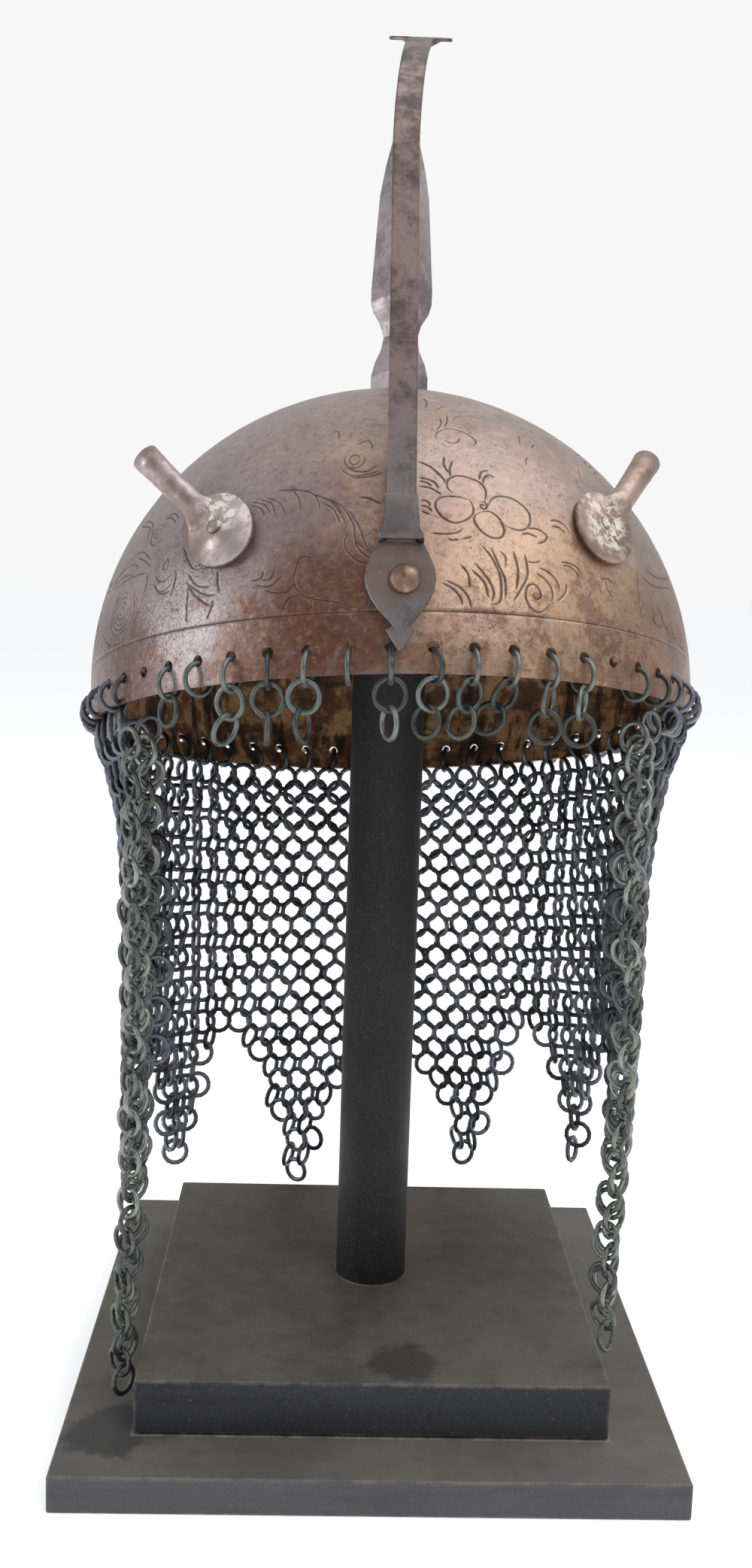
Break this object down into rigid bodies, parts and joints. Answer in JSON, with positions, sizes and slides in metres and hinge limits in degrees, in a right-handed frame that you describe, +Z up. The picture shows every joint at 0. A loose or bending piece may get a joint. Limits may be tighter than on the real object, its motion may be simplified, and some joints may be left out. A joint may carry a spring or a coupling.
{
  "type": "kulah khud helmet on a stepped wooden stand",
  "caption": "Round steel helmet with a spike, sliding nose bar, plume holders and a hanging mail curtain, resting on the post of a plain stepped wooden stand.",
  "frame": {"origin": "centre of the stand's underside, on the surface it stands on", "axes": "+Z up along the stand's post, -Y towards the helmet's front, +X towards the wearer's left side"},
  "size_m": [0.2051, 0.2093, 0.4751],
  "materials": {
    "bowl_steel": "satin",
    "fitting_steel": "satin",
    "holder_steel": "satin",
    "mail_iron": "matte",
    "loose_ring_iron": "satin",
    "black_wood": "matte"
  },
  "bodies": {
    "helmet_on_stand": {"skull": "bowl_steel", "spike": "fitting_steel", "nasal_bracket": "fitting_steel", "plume_holder_left": "holder_steel", "plume_rivet_left": "holder_steel", "plume_holder_right": "holder_steel", "plume_rivet_right": "holder_steel", "mail_curtain": "mail_iron", "mail_lappet_left": "mail_iron", "mail_lappet_right": "mail_iron", "stand_base": "black_wood", "stand_plinth": "black_wood", "stand_post": "black_wood", "rim_ring_left6_1": "loose_ring_iron", "rim_ring_left6_2": "loose_ring_iron", "rim_ring_left5_1": "loose_ring_iron", "rim_ring_left4_1": "loose_ring_iron", "rim_ring_left4_2": "loose_ring_iron", "rim_ring_left4_3": "loose_ring_iron", "rim_ring_left3_1": "loose_ring_iron", "rim_ring_left3_2": "loose_ring_iron", "rim_ring_left3_3": "loose_ring_iron", "rim_ring_left2_1": "loose_ring_iron", "rim_ring_left2_2": "loose_ring_iron", "rim_ring_left2_3": "loose_ring_iron", "rim_ring_left1_1": "loose_ring_iron", "rim_ring_middle_1": "loose_ring_iron", "rim_ring_middle_2": "loose_ring_iron", "rim_ring_middle_3": "loose_ring_iron", "rim_ring_right1_1": "loose_ring_iron", "rim_ring_right1_2": "loose_ring_iron", "rim_ring_right1_3": "loose_ring_iron", "rim_ring_right2_1": "loose_ring_iron", "rim_ring_right2_2": "loose_ring_iron", "rim_ring_right2_3": "loose_ring_iron", "rim_ring_right3_1": "loose_ring_iron", "rim_ring_right3_2": "loose_ring_iron", "rim_ring_right3_3": "loose_ring_iron", "rim_ring_right4_1": "loose_ring_iron", "rim_ring_right4_2": "loose_ring_iron", "rim_ring_right4_3": "loose_ring_iron", "rim_ring_right5_1": "loose_ring_iron", "rim_ring_right5_2": "loose_ring_iron", "rim_ring_right5_3": "loose_ring_iron", "rim_ring_right7_1": "loose_ring_iron", "rim_ring_right8_1": "loose_ring_iron"},
    "nasal": {"nasal_bar": "fitting_steel", "nasal_boss": "fitting_steel"}
  },
  "joints": [
    {"name": "nasal_slide", "type": "slide", "parent": "helmet_on_stand", "child": "nasal", "axis": [-0.0005, -0.4383, -0.8988], "range_m": [0, 0.115]}
  ]
}
